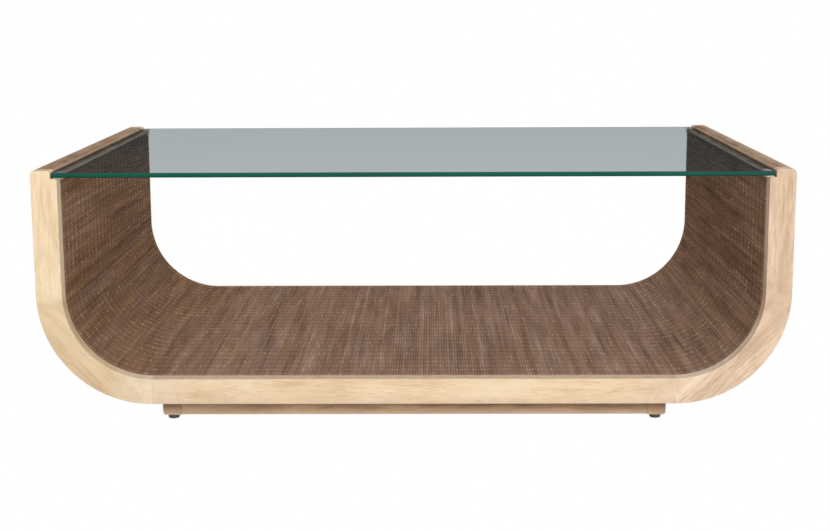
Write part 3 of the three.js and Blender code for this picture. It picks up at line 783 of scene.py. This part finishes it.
def weft_rows(random):
    """Places along the strands, how far each is moved, and a strand's height there on its
    crown and on its edge."""
    offsets = np.array([0.0, WEFT_HALF_WIDTH, 3.2 * WEFT_HALF_WIDTH, WEFT_STEP / 2])
    offsets = np.concatenate([offsets, WEFT_STEP - offsets[2:0:-1]])
    rows = np.append((np.arange(WEFTS)[:, None] * WEFT_STEP + offsets).ravel(), LINING_LENGTH)
    shifts = random.normal(0, WEFT_SHIFT, WEFTS + 1)
    shifts[0] = shifts[-1] = 0
    moved = np.interp(rows / WEFT_STEP, np.arange(WEFTS + 1), shifts)
    crowns = np.append(np.tile(CROWN_LEVELS, WEFTS), CROWN_LEVELS[0])
    edges = np.where(crowns == CROWN_LEVELS[0], BOUND_EDGE_LEVEL, 0.0)
    return rows, moved, crowns, edges


def sideways(random, columns, column, share):
    """How far each point strays across, for its column and its share of the length."""
    wander = random.normal(0, 1, (columns, 3))
    phase = 2 * math.pi * random.random((columns, 3))
    return sum(
        wander[column, k] * np.sin(phase[column, k] + 2 * math.pi * turns * share) / (1 + k)
        for k, turns in enumerate((1.0, 2.0, 3.5))
    )


def sheet_faces(columns, count):
    """The top of a sheet, its back of one strip to a column, and its edges all round."""
    ids = np.arange(columns * count).reshape(columns, count)
    quads = np.stack([ids[:-1, :-1], ids[:-1, 1:], ids[1:, 1:], ids[1:, :-1]], -1)
    faces = quads.reshape(-1, 4).tolist()
    ids = ids.tolist()
    first = columns * count
    for place in range(columns - 1):
        a, b = first + 2 * place, first + 2 * place + 2
        faces.append([a, b, b + 1, a + 1])
        faces.append([ids[place][0], ids[place + 1][0], b, a])
        faces.append([ids[place + 1][-1], ids[place][-1], a + 1, b + 1])
    faces.append([*reversed(ids[0]), first, first + 1])
    faces.append([*ids[-1], first + 2 * columns - 1, first + 2 * columns - 2])
    return faces


def with_back(front, back):
    """All of front, and then what back holds at both ends of each column."""
    size = front.shape[-1]
    return np.concatenate([front.reshape(-1, size), back[:, [0, -1]].reshape(-1, size)])


def add_weave():
    """One sheet whose strands run front to back, each over one cross strand and under the next."""
    random = np.random.default_rng(WEAVE_SEED)
    path, path_normals = u_path(WEAVE_DEPTH - WEAVE_RELIEF)
    steps = np.linalg.norm(np.diff(path, axis=0), axis=1)
    reach = np.concatenate([[0], np.cumsum(steps)])
    strands = int(reach[-1] / STRAND_PITCH)
    pitch = reach[-1] / strands
    columns = 2 * strands + 1
    nominal = np.arange(columns) * pitch / 2
    rows, moved, crowns, edges = weft_rows(random)
    column, row = np.meshgrid(np.arange(columns), np.arange(len(rows)), indexing="ij")
    along = rows[row]
    share = along / LINING_LENGTH
    height = np.where(column % 2 == 1, crowns[row], edges[row])
    height = height * (1 + random.normal(0, 0.05, height.shape))
    height = height * (0.9 + 0.2 * random.random(strands + 1)[column // 2])
    stray = sideways(random, columns, column, share) * STRAND_WANDER
    place = nominal[column] + np.clip(stray, -pitch * WANDER_LIMIT, pitch * WANDER_LIMIT)
    place = np.where((column == 0) | (column == columns - 1), nominal[column], place)
    px, pz, nx, nz = (np.interp(place, reach, line) for line in (*path.T, *path_normals.T))
    ragged = np.where(row == 0, random.random(columns)[column] * RAGGED_END, 0.0)
    swing = sum(np.sin(nominal * rate + angle) for rate, angle in ((4.0, 0.4), (11.0, 2.1), (27.0, 4.0)))
    y = -SHELL_END + along + ragged + moved[row]
    y = y + swing[column] * WEFT_WANDER / 3 * np.sin(math.pi * share)

    def sheet(lift):
        return np.stack([px + nx * lift, y, pz + nz * lift], -1)

    thickness = WEAVE_DEPTH - WEAVE_RELIEF - WEAVE_BACK_DEPTH
    verts = with_back(sheet(height * WEAVE_RELIEF), sheet(-thickness))
    piece = make_piece("woven_lining_cane", verts.tolist(), sheet_faces(columns, len(rows)),
                       [weave_material()], "table", ["woven_lining"])
    flat = np.stack([nominal[column] * (STRAND_PITCH / pitch), along * (WEFT_PITCH / WEFT_STEP)], -1)
    loops = np.zeros(len(piece.data.loops), np.int32)
    piece.data.loops.foreach_get("vertex_index", loops)
    layer = piece.data.uv_layers.new(name="cloth")
    layer.data.foreach_set("uv", with_back(flat, flat)[loops].ravel())


# The glass and its pads

def stacked(rings):
    """Verts and faces of a closed piece from rings of points, the lowest first, each of them
    anticlockwise from above."""
    count = len(rings[0])
    verts = [point for ring in rings for point in ring]
    faces = [tuple(reversed(range(count)))]
    for a in range(0, len(verts) - count, count):
        for place in range(count):
            following = (place + 1) % count
            faces.append((a + place, a + following, a + count + following, a + count + place))
    faces.append(tuple(range(len(verts) - count, len(verts))))
    return verts, faces


def add_glass():
    low, high = GLASS_LOW, GLASS_HIGH
    x, y = high.x - GLASS_CORNER, high.y - GLASS_CORNER
    rings = []
    for z, inset in ((low.z, GLASS_CHAMFER), (low.z + GLASS_CHAMFER, 0),
                     (high.z - GLASS_CHAMFER, 0), (high.z, GLASS_CHAMFER)):
        ring = []
        for centre, start in (((x, y), 0), ((-x, y), 90), ((-x, -y), 180), ((x, -y), 270)):
            ring += [(*point, z) for point in arc(centre, GLASS_CORNER - inset, start, start + 90, 4)]
        rings.append(ring)
    verts, faces = stacked(rings)
    slots = [0, *[1] * (len(faces) - 2), 0]
    make_piece("glass_sheet", verts, faces, [glass_face_material(), glass_rim_material()], "glass",
               ["glass_top"], face_slots=slots)


def rounded_block(low, high, radius):
    """Verts and faces of a box whose edges are all rounded."""
    made = bmesh.new()
    bmesh.ops.create_cube(made, size=1.0)
    size = high - low
    for vert in made.verts:
        vert.co = Vector(low[i] + (vert.co[i] + 0.5) * size[i] for i in range(3))
    bmesh.ops.bevel(made, geom=made.edges[:], offset=radius, segments=3, affect="EDGES", profile=0.5)
    made.verts.index_update()
    verts = [tuple(vert.co) for vert in made.verts]
    faces = [tuple(vert.index for vert in face.verts) for face in made.faces]
    made.free()
    return verts, faces


def add_pads(clear, milky):
    """The pad under the front right corner is the milky one."""
    for end, toward, side, sign in CORNERS:
        name = f"{end}_{side}_glass_pad"
        verts, faces = rounded_block(*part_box(name), PAD_EASE)
        material = milky if toward < 0 < sign else clear
        make_piece(f"{name}_soft", verts, faces, [material], "table", [name])


# The plinth and its feet

def add_plinth():
    for side, sign in SIDES:
        name = f"plinth_{side}_rail"
        low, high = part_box(name)
        inner, outer = sorted((abs(low.x), abs(high.x)))
        centre = (outer - PLINTH_CORNER, low.z + PLINTH_CORNER)
        outline = [
            (inner, low.z),
            *arc(centre, PLINTH_CORNER, -90, 0, EASE_STEPS),
            (outer, high.z), (inner, high.z),
        ]
        eases = [PLINTH_JOINT_ARRIS, *[PLINTH_ARRIS] * (len(outline) - 2), PLINTH_JOINT_ARRIS]
        if sign < 0:
            outline = mirrored(outline)
        shape = eased_prism(outline, eases, low.y, high.y, 1.0)
        add_oak(name, "plinth_oak", ALONG_Y, 51 + sign, *shape, marks=0.3, finish=plinth_shade_and_tone, **UMBER)
    closing = Vector((PLINTH_JOINT_CLOSING, 0, 0))
    for end, toward in ENDS:
        name = f"plinth_{end}_rail"
        low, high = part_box(name)
        shape = rounded_block(low - closing, high + closing, PLINTH_JOINT_ARRIS)
        add_oak(name, "plinth_oak", ALONG_X, 61 + toward, *shape, marks=0.45, contrast=1.2,
                finish=plinth_shade_and_tone, **UMBER)


def turned(profile, centre):
    """Verts and faces of a closed round piece, from points of radius and height on its outside."""
    turns = [2 * math.pi * step / TURNED_STEPS for step in range(TURNED_STEPS)]
    return stacked([
        [(centre.x + radius * math.cos(turn), centre.y + radius * math.sin(turn), z) for turn in turns]
        for radius, z in profile
    ])


def add_feet(material):
    """A round pad with an eased collar, and a threaded stud above it."""
    for end, _, side, _ in CORNERS:
        name = f"{end}_{side}_foot"
        low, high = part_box(name)
        radius, stud = (high.x - low.x) / 2, STUD_RADIUS
        toe = 0.8 * radius
        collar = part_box(f"{end}_{side}_insert")[0].z - GLUE_GAP
        profile = [(0.25 * radius, 0), (toe - 0.001, 0)]
        profile += [(toe + (radius - toe) * math.sin(a), 0.0025 * (1 - math.cos(a)))
                    for a in np.radians([15, 35, 55, 75, 90])]
        profile += [(radius, collar - 0.0012), (radius - 0.0004, collar - 0.0005),
                    (radius - 0.0013, collar), (stud + 0.0006, collar), (stud, collar + 0.0006)]
        thread = collar + 0.0015
        while thread < high.z - 0.0025:
            profile += [(stud - THREAD_DEPTH, thread), (stud, thread + 0.0005)]
            thread += THREAD_PITCH
        profile += [(stud, high.z - 0.001), (stud - 0.001, high.z)]
        verts, faces = turned(profile, (low + high) / 2)
        make_piece(f"{name}_nylon", verts, faces, [material], f"{end}_{side}_leveller",
                   [name])


# CAD nodes that keep their own mesh

def dress_nodes():
    plywood = plywood_material()
    beech = plain_material("beech", srgb(190, 150, 104), srgb(222, 186, 140), 8.0, 0.6,
                           stretch=(1, 14, 14))
    steel = plain_material("steel", srgb(150, 150, 148), srgb(188, 188, 186), 60.0, 0.32, metal=1.0)
    shell = ["lining_panel", "front_rib", "back_rib", "left_side_rib", "right_side_rib",
             "front_floor_bearer", "middle_floor_bearer", "back_floor_bearer"]
    dressed = dict.fromkeys(shell, plywood)
    for end, _, side, _ in CORNERS:
        dressed[f"{end}_{side}_corner_block"] = plywood
        for kind in ("upright_spline", "rail_spline", "top_dowel"):
            dressed[f"{end}_{side}_{kind}"] = beech
        for kind in ("plinth_screw", "insert"):
            dressed[f"{end}_{side}_{kind}"] = steel
    for name, material in dressed.items():
        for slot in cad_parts[name].material_slots:
            slot.material = material


# Floor, light and camera

def add_stage():
    """A pale floor, which is white to the camera."""
    mesh = bpy.data.meshes.new("floor")
    reach = 14.0
    corners = [(-reach, -reach, 0), (reach, -reach, 0), (reach, reach, 0), (-reach, reach, 0)]
    mesh.from_pydata(corners, [], [(0, 1, 2, 3)])
    floor = bpy.data.objects.new("floor", mesh)
    bpy.context.scene.collection.objects.link(floor)
    s = Shade(bpy.data.materials.new("floor"))
    paper = s.principled(Base_Color=srgb(238, 238, 236), Roughness=0.8)
    white = s.add("Emission", {"Color": (1, 1, 1, 1), "Strength": 1.0}).outputs[0]
    mesh.materials.append(s.finish(s.mixed(s.seen(), paper, white)))


def add_world():
    """A faint even light, and white to the camera."""
    world = bpy.data.worlds.new("studio")
    bpy.context.scene.world = world
    s = Shade(world)
    ambient = s.add("Background", {"Color": (1, 1, 1, 1), "Strength": 0.07}).outputs[0]
    white = s.add("Background", {"Color": (1, 1, 1, 1), "Strength": 1.0}).outputs[0]
    s.add("OutputWorld", {0: s.mixed(s.seen(), ambient, white)})


def add_lamp(name, place, target, size, power):
    lamp = bpy.data.lights.new(name, "AREA")
    lamp.shape = "RECTANGLE"
    lamp.size, lamp.size_y = size
    lamp.energy = power
    holder = bpy.data.objects.new(name, lamp)
    bpy.context.scene.collection.objects.link(holder)
    holder.location = place
    holder.rotation_euler = (Vector(target) - Vector(place)).to_track_quat("-Z", "Y").to_euler()


def add_camera():
    camera = bpy.data.cameras.new("camera")
    camera.sensor_width = 36.0
    camera.lens = CAMERA_LENS
    holder = bpy.data.objects.new("camera", camera)
    bpy.context.scene.collection.objects.link(holder)
    yaw, pitch, roll = CAMERA_YAW, CAMERA_PITCH, CAMERA_ROLL
    ahead = math.cos(pitch)
    forward = Vector((math.sin(yaw) * ahead, math.cos(yaw) * ahead, -math.sin(pitch)))
    right = Vector((math.cos(yaw), -math.sin(yaw), 0))
    up = right.cross(forward)
    x_axis = right * math.cos(roll) - up * math.sin(roll)
    y_axis = right * math.sin(roll) + up * math.cos(roll)
    turn = Matrix((x_axis, y_axis, -forward)).transposed().to_4x4()
    holder.matrix_world = Matrix.Translation(CAMERA_PLACE) @ turn
    bpy.context.scene.camera = holder


add_camera()
add_stage()
add_world()
add_lamp("key", (-0.25, -4.2, 1.7), (0, 0, 0.25), (3.2, 2.2), 104)
add_lamp("fill", (2.6, -3.6, 1.1), (0, 0, 0.25), (2.0, 2.0), 46)
add_lamp("top", (0, -0.4, 3.4), (0, 0, 0.2), (3.0, 2.6), 38)
add_lamp("rear", (0.3, 3.3, 2.7), (0, 0, 0.2), (3.0, 1.6), 34)
add_hoops()
add_top_rails()
add_outer_skin()
add_weave()
add_glass()
add_pads(plain_material("clear_pad", srgb(176, 170, 152), srgb(208, 202, 184), 90.0, 0.35),
         plain_material("milky_pad", srgb(244, 241, 228), srgb(252, 250, 242), 90.0, 0.35))
add_plinth()
add_feet(plain_material("foot_nylon", srgb(46, 40, 38), srgb(68, 61, 57), 220.0, 0.45))
dress_nodes()
bpy.context.scene.view_settings.view_transform = "Standard"
